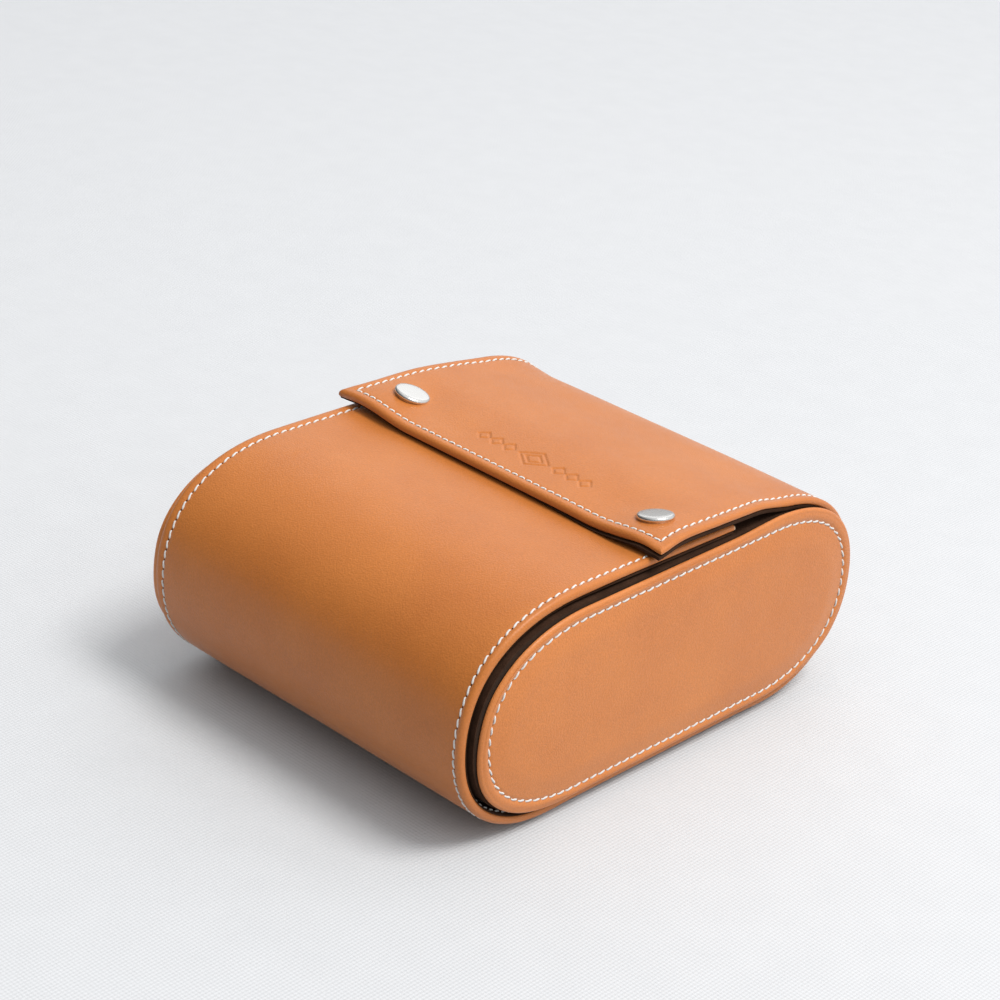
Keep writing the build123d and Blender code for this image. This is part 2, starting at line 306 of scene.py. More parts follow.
def surface_frame(x, v):
    """Points, outward normals and tangents along v, of the outer face."""
    p, step = surface(x, v), 0.2
    along = surface(x, v + step) - surface(x, v - step)
    normal = np.cross(surface(x + step, v) - surface(x - step, v), along)
    outward = wrap.at(skewed(x, v))[1]
    facing = normal[..., 1] * outward[..., 0] + normal[..., 2] * outward[..., 1]
    return p, unit(normal * np.sign(facing)[..., None]), unit(along)


# ---- mesh helpers
def mesh_from(name, points, faces, scale):
    mesh = bpy.data.meshes.new(name)
    mesh.from_pydata((np.asarray(points) * scale).tolist(), [], faces)
    return mesh


def new_object(name, data):
    made = bpy.data.objects.new(name, data)
    bpy.context.scene.collection.objects.link(made)
    return made


def turns(count):
    """Angles once round, evenly spaced."""
    return np.linspace(0, 2 * math.pi, count, endpoint=False)


def make_mesh(name, points, faces, sharp, *materials, kinds=None):
    """A piece from points in millimetres, with edges sharp from an angle."""
    mesh = mesh_from(name, points, faces, mm)
    for material in materials:
        mesh.materials.append(material)
    if kinds is not None:
        mesh.polygons.foreach_set("material_index", np.asarray(kinds, np.int32))
    mesh.update()
    b = bmesh.new()
    b.from_mesh(mesh)
    bmesh.ops.remove_doubles(b, verts=b.verts, dist=1e-7)
    bmesh.ops.recalc_face_normals(b, faces=b.faces)
    b.to_mesh(mesh)
    b.free()
    mesh.shade_smooth()
    mesh.set_sharp_from_angle(angle=math.radians(sharp))
    return new_object(name, mesh)


def settle(piece, node, body="case"):
    """Fixes a piece to a body, in place of a CAD node."""
    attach(piece, body)
    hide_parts(node)


def grid_faces(rows, columns, start=0, flip=False, closed=False):
    """Quads over a rows x columns block of points; closed joins the last column to the first."""
    index = np.arange(rows * columns).reshape(rows, columns) + start
    if closed:
        index = np.c_[index, index[:, 0]]
    quads = np.stack([index[:-1, :-1], index[:-1, 1:], index[1:, 1:], index[1:, :-1]], -1).reshape(-1, 4)
    return quads[:, ::-1].tolist() if flip else quads.tolist()


def tube_faces(rows, columns, start=0):
    """Faces of a tube of points, with one more across each end."""
    last = start + (rows - 1) * columns
    ends = [list(range(start, start + columns))[::-1], list(range(last, last + columns))]
    return grid_faces(rows, columns, start, closed=True) + ends


def slab(name, top, bottom, sharp, material):
    """Closed sheet between two equal grids of points."""
    rows, columns = top.shape[:2]
    points = np.vstack([top.reshape(-1, 3), bottom.reshape(-1, 3)])
    size = rows * columns
    faces = grid_faces(rows, columns) + grid_faces(rows, columns, size, flip=True)
    index = np.arange(size).reshape(rows, columns)
    ring = np.r_[index[0], index[1:, -1], index[-1, -2::-1], index[-2:0:-1, 0]].tolist()
    faces += [[b, a, a + size, b + size] for a, b in zip(ring, ring[1:] + ring[:1])]
    return make_mesh(name, points, faces, sharp, material)


def refined(low, high, step, finer=()):
    """Evenly spaced lines, with finer runs given as (low, high, step)."""
    lines = list(np.linspace(low, high, max(2, int(round((high - low) / step)) + 1)))
    for a, b, fine in finer:
        a, b = max(a, low), min(b, high)
        if b > a:
            lines = [q for q in lines if not a - 0.3 * step < q < b + 0.3 * step]
            lines += list(np.linspace(a, b, max(2, int(round((b - a) / fine)) + 1)))
    return np.array(sorted(set(lines + [low, high])))


def edge_lines(groove):
    """Distances in from an edge, closer over the rolled edge, the lip and the stitching."""
    rolled = edge_round * (1 - np.cos(np.linspace(0, math.pi / 2, 7)))
    beyond = refined(lip_width + 0.5, edge_band, 1.6, [(groove - 1.3, groove + 1.3, 0.33)])
    return np.r_[rolled, lip_width, lip_width + 0.02, beyond]


# ---- the wrap's layers
def wrap_grid(v_lines, inset, motif):
    """x and v of a grid over the wrap, whose side lines follow the wrap's edge."""
    hems = [inset, inset + 0.15, inset + 0.45, lip_width + 0.14, lip_width + 0.3, edge_band]
    e = np.unique(hems) if inset else edge_lines(flap_margin if motif else stitch_margin)
    core = 62.0
    finer = [(motif_x - motif_half, motif_x + motif_half, motif_step)] if motif else []
    middle = refined(-core, core, 2.8, finer) / core
    w = half_width(v_lines[:, None])
    x = np.hstack([-(w - e[None, :]), middle[None, 1:-1] * (w - edge_band), w - e[None, ::-1]])
    return x, np.broadcast_to(v_lines[:, None], x.shape)


def lip_thickness(x, v):
    """Thickness of the turned edge: thinner on flap and tongue, fuller along the flap's front."""
    thinner = 1.15 * smooth(v_back, v_back_top + 10, v) + 0.6 * smooth(v_top_fold + 5, v_top_fold - 25, v)
    fuller = 0.95 * smooth(70, 58, x) * smooth(12, 3, v_flap_edge - v)
    return wrap_thick - thinner + fuller


def sheet(name, v_lines, from_depth, to_depth, inset, material, motif=False, ends=(False, False)):
    """One layer of the wrap between two depths; ends says which ends are free edges."""
    x, v = wrap_grid(v_lines, inset, motif)
    start = v - v_lines[0] if ends[0] else 1e3
    end = v_lines[-1] - v if ends[1] else 1e3
    e = np.minimum(half_width(v) - np.abs(x), np.minimum(start, end) + inset)
    radius = edge_round if inset == 0 else 0.4
    inner = np.clip(radius - (e - inset), 0, radius)
    drop = radius - np.sqrt(np.clip(radius**2 - inner**2, 0, None))
    lip = lip_thickness(x, v)
    if inset == 0:
        drop = drop * np.minimum(1, lip / wrap_thick)
        full = np.where(e <= lip_width + 0.01, lip - drop * 0.7, skin_thick)
    else:
        full = to_depth - drop
    start_depth = from_depth + drop
    if from_depth > skin_thick + board_thick:
        start_depth = np.where(e <= lip_width + 0.15, np.minimum(lip + 0.04, full - 0.05), start_depth)
    return slab(name, surface(x, v, start_depth), surface(x, v, full), 50, material)


def skin_rows(start, end, free_start, free_end, finer):
    """Lines along the wrap, closer together at a free edge and at a seam."""
    lines = refined(start, end, 2.0, finer)
    edge = edge_lines(flap_margin)
    if free_end:
        lines = np.r_[lines[lines < end - edge_band], (end - edge)[::-1]]
    else:
        lines = np.r_[lines[:-1], end - 0.06, end]
    if free_start:
        lines = np.r_[start + edge, lines[lines > start + edge_band]]
    else:
        lines = np.r_[lines[0], lines[0] + 0.06, lines[1:]]
    return np.unique(lines.round(4))


# ---- materials
class Look:
    """The node tree of a material or a world, with helpers that add to it."""

    def __init__(self, owner):
        owner.use_nodes = True
        self.owner, self.nodes = owner, owner.node_tree.nodes
        self.coords = self.add("TexCoord").outputs

    def put(self, node, inputs):
        """Sets inputs of a node to values, or links them to other nodes."""
        for key, value in inputs.items():
            socket = node.inputs[key]
            if isinstance(value, bpy.types.NodeSocket):
                self.owner.node_tree.links.new(value, socket)
            else:
                socket.default_value = (*value, 1) if socket.type == "RGBA" else value

    def add(self, kind, inputs=None, **settings):
        node = self.nodes.new("ShaderNode" + kind)
        for key, value in settings.items():
            setattr(node, key, value)
        self.put(node, inputs or {})
        return node

    def noise(self, scale, detail=3, roughness=0.55):
        inputs = {"Vector": self.coords["Object"], "Scale": scale, "Detail": detail, "Roughness": roughness}
        return self.add("TexNoise", inputs).outputs["Fac"]

    def ramp(self, value, *stops):
        """Colour ramp over a value, between two stops of (position, colour)."""
        node = self.add("ValToRGB", {"Fac": value})
        for element, (position, colour) in zip(node.color_ramp.elements, stops):
            element.position = position
            element.color = (*colour, 1)
        return node.outputs["Color"]

    def mix(self, factor, first, second, mode="MIX"):
        """Mixes two colours by a factor."""
        return self.add("Mix", {0: factor, 6: first, 7: second}, data_type="RGBA", blend_type=mode).outputs[2]

    def scaled(self, value, low, high):
        """A 0-1 value spread over low to high."""
        return self.add("MapRange", {"Value": value, "To Min": low, "To Max": high}).outputs["Result"]

    def bounce(self, colour, thrown, share):
        """A colour that throws back on its surroundings partly another, duller one, which only diffuse rays see:
        painted shade in the light it bounces.
        """
        bounced = self.add("LightPath").outputs["Is Diffuse Ray"]
        return self.mix(self.scaled(bounced, 0.0, share), colour, thrown)

    def shade(self, colour, roughness, bumps=(), **more):
        """Sets up the shader, with bumps of (height, distance, strength), and returns the material."""
        normal = {}
        for height, distance, strength in bumps:
            node = self.add("Bump", {"Height": height, "Distance": distance, "Strength": strength, **normal})
            normal = {"Normal": node.outputs["Normal"]}
        more = {key.replace("_", " "): value for key, value in more.items()}
        self.put(self.nodes["Principled BSDF"], {"Base Color": colour, "Roughness": roughness, **normal, **more})
        return self.owner


def new_look(name):
    return Look(bpy.data.materials.new(name))


def leather(name, pale, deep):
    """Smooth dyed leather: fine pores, cloudy dye and a soft sheen."""
    look = new_look(name)
    dye = look.ramp(look.noise(22, 4, 0.6), (0.3, deep), (0.7, pale))
    mottle = look.ramp(look.noise(1500, 3, 0.75), (0.32, (0.80, 0.77, 0.74)), (0.7, (1.06, 1.06, 1.06)))
    pores = look.add("TexVoronoi", {"Vector": look.coords["Object"], "Scale": 1700}, feature="F1")
    fine = look.noise(2600, 4, 0.65)
    wide = look.noise(160, 3, 0.5)
    # The dull grey-brown the leather throws back is painted shade: it dims and greys the bounce light on the floor
    # and in the leather's own folds.
    return look.shade(
        look.bounce(look.mix(0.65, dye, mottle, "MULTIPLY"), (0.36, 0.28, 0.23), 0.7),
        look.scaled(wide, 0.36, 0.52),
        [(wide, 0.0003, 0.18), (pores.outputs["Distance"], 0.00018, 0.5), (fine, 0.00014, 0.5)],
        Specular_IOR_Level=0.34, Coat_Weight=0.26, Coat_Roughness=0.30,
        Sheen_Weight=0.13, Sheen_Roughness=0.32, Sheen_Tint=(1.0, 0.92, 0.86),
    )


def suede(name, pale, deep):
    """Brushed microsuede: a deep, matt pile, streaked where it has been stroked."""
    look = new_look(name)
    strokes = look.noise(130, 4, 0.6)
    pile = look.noise(3500, 2, 0.7)
    colour = look.ramp(strokes, (0.35, deep), (0.65, pale))
    specks = look.ramp(pile, (0.3, (0.55, 0.55, 0.55)), (0.7, (1.3, 1.25, 1.2)))
    return look.shade(
        look.mix(0.8, colour, specks, "MULTIPLY"), look.scaled(strokes, 0.86, 0.97), [(pile, 0.0002, 0.6)],
        Specular_IOR_Level=0.06, Sheen_Weight=0.06, Sheen_Roughness=0.5, Sheen_Tint=(0.60, 0.36, 0.24),
    )


def thread(name):
    """Waxed twisted thread: fine slanted plies and a soft shine."""
    look = new_look(name)
    inputs = {"Vector": look.coords["Object"], "Scale": 1100, "Distortion": 1.5}
    plies = look.add("TexWave", inputs, bands_direction="DIAGONAL").outputs["Fac"]
    colour = look.ramp(plies, (0.1, (0.85, 0.82, 0.76)), (0.6, (0.97, 0.95, 0.92)))
    return look.shade(colour, look.scaled(plies, 0.6, 0.45), [(plies, 0.0001, 0.5)])


def needle_hole_shade(name):
    """Painted shade: the near-black mouth of a needle hole, a colour in place of a cut hole."""
    look = new_look(name)
    return look.shade(look.ramp(look.noise(2000), (0.3, (0.03, 0.012, 0.005)), (0.7, (0.08, 0.03, 0.012))), 0.9)


def nickel(name):
    """Bright plated snap, scuffed to a satin shine by handling."""
    look = new_look(name)
    scuffs = look.noise(700, 6, 0.7)
    colour = look.ramp(scuffs, (0.3, (0.74, 0.73, 0.71)), (0.7, (0.78, 0.77, 0.75)))
    return look.shade(colour, look.scaled(scuffs, 0.22, 0.27), [(scuffs, 0.00001, 0.04)], Metallic=1.0)


def board(name, dark=(0.16, 0.11, 0.07), light=(0.34, 0.26, 0.18)):
    """Fibres pressed together: stiffening board, or the cut edge of leather."""
    look = new_look(name)
    fibres = look.noise(1500, 6, 0.75)
    colour = look.ramp(fibres, (0.3, dark), (0.7, light))
    return look.shade(colour, look.scaled(fibres, 0.8, 0.95), [(fibres, 0.0001, 0.4)], Specular_IOR_Level=0.15)


tan_leather = leather("tan_leather", (0.735, 0.239, 0.046), (0.655, 0.202, 0.038))
# Painted light: the end panels take a lighter copy of the wrap's leather, brightened to the level at which they
# look lit.
lit_panel_leather = leather("lit_panel_leather", (0.835, 0.284, 0.069), (0.745, 0.241, 0.057))
brown_suede = suede("brown_suede", (0.072, 0.036, 0.022), (0.045, 0.022, 0.013))
cream_thread = thread("cream_thread")
# Painted shade for the mouths of the needle holes.
painted_hole_shade = needle_hole_shade("needle_hole_shade")
bright_nickel = nickel("bright_nickel")
fibre_board = board("fibre_board")
inked_board = board("inked_board", (0.030, 0.017, 0.011), (0.060, 0.035, 0.022))
raw_edge = board("raw_edge", (0.62, 0.40, 0.24), (0.80, 0.62, 0.44))
pale_suede = suede("pale_suede", (0.115, 0.062, 0.038), (0.070, 0.036, 0.022))
grey_felt = suede("grey_felt", (0.20, 0.19, 0.18), (0.13, 0.12, 0.115))

# ---- wrap sheets, each across one joint
# Of each section: range of v, bodies and line of the joint it spans, CAD nodes.
low_front, high_front = (0, -0.095, 0.027), (0, -0.095, 0.052)
low_back, high_back = (0, 0.095, 0.024), (0, 0.095, 0.056)
fold_front, fold_back = (0, -0.060, 0.0796), (0, -0.032, 0.0796)
sections = {
    "tongue": ((0.0, v_seam), ("front_curve", "tongue", fold_front, fold_back), ["tongue"]),
    "front": ((v_seam, v_bottom), ("case", "front_curve", low_front, high_front), ["front_curve", "base"]),
    "flap": ((v_bottom, v_flap_edge), ("case", "flap", low_back, high_back), ["flap"]),
}


def bend(piece, section, part):
    """Fixes a piece of the wrap where it stands, in place of the CAD nodes of that part, which it hides."""
    _, (body_a, body_b, start, end), prefixes = sections[section]
    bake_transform(piece)
    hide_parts(*[f"{prefix}_{part}" for prefix in prefixes])


def push_lining_out(lining):
    """At the right of the flap's front edge the lining shows a little past the leather."""
    for vertex in lining.data.vertices:
        x, y, z = np.array(vertex.co) / mm
        past = smooth(10, 55, x) * smooth(flap_edge_y + 2.5, flap_edge_y + 0.5, y)
        vertex.co = mm * np.array([x, y - 1.3 * past, z - 0.25 * past])


def build_wrap():
    """Leather, board and lining of each section."""
    inner_step, board_inset, board_back, lining_back = 2.5, 2.2, 2.4, 0.6
    for section, ((start, end), _, _) in sections.items():
        free = section == "tongue", section == "flap"
        motif = free[1]
        rows = skin_rows(start, end, *free, [(v_motif - 6, v_motif + 6, motif_step)] if motif else [])
        skin = sheet(section + "_skin", rows, 0, wrap_thick, 0, tan_leather, motif, free)
        rows = refined(start + board_back * free[0], end - board_back * free[1], inner_step)
        depths = skin_thick + 0.03, skin_thick + board_thick
        core = sheet(section + "_core", rows, *depths, board_inset, fibre_board)
        start, end = start + lining_back * free[0], end - lining_back * free[1]
        rows = refined(start, end, inner_step, [(end - 2.4, end, 0.2)] if motif else [])
        depths = skin_thick + board_thick + 0.05, wrap_thick + 0.25
        hem = 0.3 if section == "front" else 0.12
        lining = sheet(section + "_suede", rows, *depths, hem, brown_suede, False, free)
        if section == "tongue":
            skin.data.materials.append(raw_edge)
            for face in skin.data.polygons:
                if face.center.y > (tongue_end_y - 0.45) * mm:
                    face.material_index = 1
        if motif:
            push_lining_out(lining)
        bend(skin, section, "leather")
        bend(core, section, "board")
        bend(lining, section, "lining")


# ---- stitching
def stitch_mesh(name, anchors, normals, directions, lengths, seed, slant=0.14):
    """A run of stitches, each a twisted loop of thread and a needle hole painted as a near-black lens of shade."""
    rng = np.random.default_rng(seed)
    rings, sides = 11, 8
    hole_profile = ((0.42, -0.10), (0.42, 0.015), (0.2, 0.03))
    sunk, crown, dive = 0.16, 0.2, 0.5
    angle = turns(sides)
    cos, sin = np.cos(angle)[:, None], np.sin(angle)[:, None]
    points, faces, kinds = [], [], []
    for p, n, d, length in zip(anchors, normals, directions, lengths):
        lean = slant * (1 + 0.25 * rng.standard_normal())
        d = unit(d + np.cross(n, d) * lean * 0.9)
        cross = np.cross(n, d)
        lift = 0.24 + 0.03 * rng.standard_normal()
        reach = length / 2 * (1 + 0.04 * rng.standard_normal())
        bow = 0.10 * rng.standard_normal()
        start = len(points)
        for value in np.linspace(-1, 1, rings):
            height = lift - sunk + crown * (1 - value**2) - dive * abs(value) ** 6
            sway = 0.5 * bow * (1 - value**2) + 0.10 * math.sin(math.pi * value)
            centre = p + d * reach * value + n * height + cross * sway
            radius = thread_radius * (1 - 0.4 * abs(value) ** 6)
            plies = 1 + 0.13 * np.cos(2 * (angle + value * 2.4))
            points += list(centre + radius * plies[:, None] * (cos * cross * 1.12 + sin * n))
        # The needle hole is a flat near-black lens in the groove: painted shade in place of a cut hole.
        hole = p + d * (reach * 1.03)
        begin = len(points)
        for radius, height in hole_profile:
            points += list(hole + n * height + radius * (cos * cross * 0.85 + sin * d))
        for kind, rows, first in ((0, rings, start), (1, len(hole_profile), begin)):
            more = tube_faces(rows, sides, first)
            faces += more
            kinds += [kind] * len(more)
    return make_mesh(name, points, faces, 80, cream_thread, painted_hole_shade, kinds=kinds)


def spaced(start, end, pitch):
    """Middles of equal lengths between start and end, of about the given pitch."""
    count = int(round((end - start) / pitch))
    return start + (np.arange(count) + 0.5) * (end - start) / count


def build_wrap_stitching():
    """Rows along the wrap's sides and the flap's front edge, outside and inside."""
    first_hole = 3.0
    for section, ((start, end), _, _) in sections.items():
        v = spaced(start + first_hole * (section == "tongue"), end - flap_margin * (section == "flap"), side_pitch)
        x = half_width(v) - margin_at(wrap_half, v)
        left = half_width(v) - margin_at(-wrap_half, v)
        p, n, d = surface_frame(np.r_[-left, x], np.r_[v, v])
        d = d * np.repeat((-1, 1), len(v))[:, None]
        lengths = np.full(2 * len(v), 0.91 * side_pitch)
        if section == "flap":
            span = float(half_width(v_flap_edge) - flap_margin)
            x = spaced(-span, span, flap_pitch)
            fp, fn, fd = surface_frame(x, np.full(len(x), v_flap_edge - flap_margin))
            p, n, d = np.vstack([p, fp]), np.vstack([n, fn]), np.vstack([d, np.cross(fd, fn)])
            lengths = np.r_[lengths, np.full(len(x), 0.82 * flap_pitch)]
        under = p - n * (wrap_thick - 0.08)
        for name, q, m in (("stitching", p, n), ("inner_stitching", under, -n)):
            piece = stitch_mesh(f"{section}_{name}", q, m, d, lengths, len(section))
            bend(piece, section, "thread")


# ---- end panels
def oval_loop(inset, count):
    """Points (y, z) round the oval at an inset, from the back nose over the top."""
    reach, rise = half_depth - flat_half - inset, mid_z - inset
    q = quarter(max(reach, 0.01), max(rise, 0.01), count // 8 + 1)
    top_back = np.c_[flat_half + q[:, 0], q[:, 1]]
    flat = np.linspace(flat_half, -flat_half, count // 4 + 1)[1:-1]
    top = np.c_[flat, np.full(len(flat), q[-1, 1])]
    upper = np.vstack([top_back, top, top_back[::-1] * (-1, 1)])
    return np.vstack([upper, -upper[1:-1]]) + (0, mid_z)


# How far each end panel is bulged out, slid along the case, tilted and lifted by hand assembly.
panel_bulge = {-1: 1.9, 1: 0.0}
panel_slide = {-1: -3.3, 1: 1.3}
panel_tilt = 0.012
panel_lift = 1.7


def panel_place(side, y, z):
    """Where a point of an end panel ends up, as the panel is glued on slightly askew."""
    return y + panel_slide[side], z + (panel_tilt * y if side > 0 else panel_lift) * z / top_z


def panel_height(e):
    """Height of the face over its flat, by distance in from the outline."""
    h = 0.22 * bell(e - panel_groove * 0.5, 1.6)
    h = h - 0.38 * bell(e - panel_groove, 0.6)
    h = h + 0.95 * smooth(panel_groove, panel_groove + 9.0, e) ** 0.8
    return h + 0.45 * smooth(panel_groove + 4, 30.0, e)


def closing_strip(start, count):
    """Faces across the inside of a symmetric loop, from its top half to its bottom half."""
    half = count // 2
    strip = [(0, 1, count - 1), *[(k, k + 1, count - 1 - k, count - k) for k in range(1, half - 1)]]
    return [[start + k for k in face] for face in strip + [(half - 1, half, half + 1)]]


def end_piece(name, node, side, loops, sharp, material, hollow=False):
    """A piece of one end, from loops of points; hollow joins the last loop to the first."""
    width, last = len(loops[0]), (len(loops) - 1) * len(loops[0])
    faces = grid_faces(len(loops), width, closed=True)
    if hollow:
        faces += [[last + k, last + (k + 1) % width, (k + 1) % width, k] for k in range(width)]
    else:
        faces += closing_strip(last, width) + [f[::-1] for f in closing_strip(0, width)]
    piece = make_mesh(name, np.vstack(loops) * (side, 1, 1), faces, sharp, material)
    settle(piece, node)


def build_cover(side, word):
    """Leather cover of one end: rolled edge, sunk stitch line and a soft pad inside it."""
    roll, roll_rise = 1.45, 0.36
    back, face = panel_back + 0.02, panel_face + panel_bulge[side]
    rings = [(7.0, back, False), (1.0, back, False), (0.3, back + 0.1, False), (0.0, back + 0.35, False)]
    for a in np.linspace(0, math.pi / 2, 8):
        x = face - roll * (1 - math.sin(a)) + roll_rise * (1 - a / (math.pi / 2))
        rings.append((roll * (1 - math.cos(a)), x, False))
    finer = [(panel_groove - 1.5, panel_groove + 1.6, 0.3)]
    rings += [(e, face, True) for e in refined(roll + 0.4, 34.0, 1.3, finer)]
    loops = []
    for e, x, on_face in rings:
        y, z = panel_place(side, *oval_loop(min(panel_inset + e, mid_z - 1.0), 400).T)
        # The outline outside the stitching was cut by eye.
        outside = 1 - smooth(0.5, panel_groove - 0.6, e) if on_face else 1
        z = z - outside * smooth(50, 25, y) * smooth(48, 66, z)
        z = z + outside * smooth(22, 4, z) * smooth(-70, -40, y)
        y = y + 0.8 * outside * smooth(-40, -75, y) * smooth(22, 50, z)
        lift = 0
        if on_face:
            lift = panel_height(e) + 0.12 * ripple(y * 1.3, z * 1.7, 4.0 + side) * smooth(3, 20, e)
        loops.append(np.c_[np.full(len(y), x) + lift, y, z])
    # The cover takes the lighter copy of the leather, which is painted light.
    end_piece(word + "_cover", word + "_leather", side, loops, 60, lit_panel_leather)


def build_panel_stitching(side, word):
    loop = oval_loop(panel_stitch, 4000)
    closed = np.vstack([loop, loop[:1]])
    run = run_along(closed)
    places = spaced(0, run[-1], panel_pitch)
    y, z = [np.interp(places, run, values) for values in closed.T]
    ahead = [np.interp(places + 0.3, run, values) for values in closed.T]
    d = unit(np.c_[np.zeros(len(y)), ahead[0] - y, ahead[1] - z])
    x = np.full(len(y), panel_face + panel_bulge[side] + panel_height(panel_groove))
    p = np.c_[(x * side, *panel_place(side, y, z))]
    n = np.tile([float(side), 0, 0], (len(y), 1))
    lengths = np.full(len(y), 0.91 * panel_pitch)
    piece = stitch_mesh(word + "_stitching", p, n, d * side, lengths, 20 + side, slant=0.12)
    settle(piece, word + "_thread")


def build_rim(side, word):
    """Suede strip round the end, behind the leather cover, slightly puckered."""
    hidden = tray_inset - 0.02
    section = [(hidden, rim_inner), (rim_inset + 0.25, rim_inner)]
    section += [(rim_inset, rim_inner + 0.4), (rim_inset, rim_inner + 4.0)]
    puckers = ((0, 4.5), (0.1, 3.1), (0.15, 2.4), (-0.05, 1.7), (0.15, 0.8), (0.1, 0.02))
    section += [(rim_inset + rise, panel_back - back) for rise, back in puckers]
    section.append((hidden, panel_back - 0.02))
    loops = [oval_loop(inset, 320) for inset, _ in section]
    loops = [np.c_[np.full(len(loop), x), loop] for loop, (_, x) in zip(loops, section)]
    end_piece(word + "_suede_strip", word + "_rim", side, loops, 50, brown_suede, hollow=True)


def build_facing(side, word):
    """Suede-covered inner face of one end, padded a little."""
    low, high = box(word + "_suede")
    inner, outer = sorted((abs(low[0]), abs(high[0])))
    rings = [(3.0, outer - 0.02), (0.3, outer - 0.02), (0.02, outer - 0.2), (0.02, inner + 0.3)]
    rings += [(0.1, inner + 0.1), (0.3, inner + 0.02)]
    rings += [(e, inner - 0.45 * smooth(2.5, 12, e)) for e in refined(0.6, 33, 1.6)]
    loops = []
    for e, x in rings:
        loop = oval_loop(min(tray_inset + e, mid_z - 1.0), 240)
        lift = 0.12 * ripple(loop[:, 0] * 1.5, loop[:, 1] * 1.5, 9.0 + side) * float(smooth(3, 12, e))
        loops.append(np.c_[np.full(len(loop), x) - lift, loop])
    end_piece(word + "_facing", word + "_suede", side, loops, 60, brown_suede)


def build_ends():
    for side, word in ((-1, "left_end"), (1, "right_end")):
        build_cover(side, word)
        build_panel_stitching(side, word)
        build_rim(side, word)
        build_facing(side, word)


# ---- snaps
# Outlines of the turned parts, as (radius, height) over the leather's outer face.
cap_outline = [
    (0, 1.3), (2.0, 1.3), (3.6, 1.29), (4.9, 1.27), (5.5, 1.2), (5.85, 1.05), (6.12, 0.78), (6.25, 0.42),
    (6.24, 0.15), (6.1, -0.1), (5.9, -0.3), (5.7, -0.9), (0, -0.9),
]
socket_outline = [
    (0, -3.4), (2.6, -3.4), (2.9, -3.46), (3.1, -3.7), (3.3, -4.0), (3.7, -4.1), (4.6, -4.08), (5.2, -3.95),
    (5.5, -3.7), (5.5, -3.3), (0, -3.3),
]
stud_outline = [
    (0, 1.25), (1.3, 1.25), (1.9, 1.12), (2.15, 0.85), (2.05, 0.6), (1.75, 0.45), (1.8, 0.34), (3.9, 0.26),
    (4.35, 0.15), (4.5, -0.05), (4.4, -0.3), (0, -0.3),
]
rivet_outline = [(0, -3.95), (3.2, -3.92), (4.1, -3.82), (4.5, -3.6), (4.5, -3.3), (0, -3.3)]
left_cap_scale = 1.04
cap_rise = 0.2


def lathe(outline, place, axis, segments=72):
    """Points and faces of a turned shape: (radius, height) pairs along an axis."""
    axis = unit(np.array(axis))
    across = unit(np.cross(axis, (0, 1, 0)))
    along = np.cross(axis, across)
    angle = turns(segments)
    circle = np.cos(angle)[:, None] * across + np.sin(angle)[:, None] * along
    points = np.vstack([place + axis * h + r * circle for r, h in outline])
    return points, grid_faces(len(outline), segments, closed=True)


def join_shapes(shapes):
    """One list of points and one of faces from several."""
    faces, start = [], 0
    for points, more in shapes:
        faces += [[start + k for k in face] for face in more]
        start += len(points)
    return np.vstack([points for points, _ in shapes]), faces


def build_snaps():
    """Caps on the flap, sockets under it, studs on the tongue and their rivets under that."""
    caps, sockets, studs, rivets = [], [], [], []
    for x, y, v, axis in zip(cap_places, cap_depths, v_caps, cap_normals):
        p, n, _ = surface_frame(x, v)
        outline = np.array(cap_outline) * (left_cap_scale if x < 0 else 1.0)
        caps.append(lathe(outline, p + (0, 0, cap_rise), axis))
        sockets.append(lathe(socket_outline, p, n))
        p, n, _ = surface_frame(x, wrap.nearest(y, top_z - 1))
        studs.append(lathe(stud_outline, p, n))
        rivets.append(lathe(rivet_outline, p, n))
    for name, shapes, node, body in (
        ("snap_cap_pair", caps, "snap_caps", "flap"), ("snap_socket_pair", sockets, "snap_sockets", "flap"),
        ("snap_stud_pair", studs, "snap_studs", "tongue"), ("snap_rivet_pair", rivets, "snap_posts", "tongue"),
    ):
        settle(make_mesh(name, *join_shapes(shapes), 45, bright_nickel), node, body)


# ---- inside the case
def trough_line(inset, level):
    """The oval at an inset, below a level, from front to back."""
    loop = oval_loop(inset, 2400)
    start = np.argmin(np.abs(loop[:, 0]) + 10 * (loop[:, 1] < mid_z))
    loop = np.roll(loop, -start, axis=0)
    return loop[loop[:, 1] <= level]


def ribbon(name, line, half_x, thick, material, sheer, seed):
    """A soft sheet from side to side, on the inner side of a line in the Y-Z plane."""
    v = refined(0, line.length, 2.0, [(0, 5, 0.35), (line.length - 5, line.length, 0.35)])[:, None]
    x = refined(-half_x, half_x, 3.0, [(-half_x, -half_x + 1, 0.15), (half_x - 1, half_x, 0.15)])[None, :]
    v, x = np.broadcast_arrays(v, x)
    flat, normal = line.at(v)
    e = np.minimum(np.minimum(v, line.length - v), half_x - np.abs(x))
    rounding = 0.3
    shrink = rounding * (1 - smooth(0, rounding * 2, e))
    wave = sheer * ripple(x * 1.6, v * 2.0, seed) * smooth(1, 8, e)
    return slab(name, raised(x, flat, normal, shrink - wave), raised(x, flat, normal, thick - shrink), 60, material)


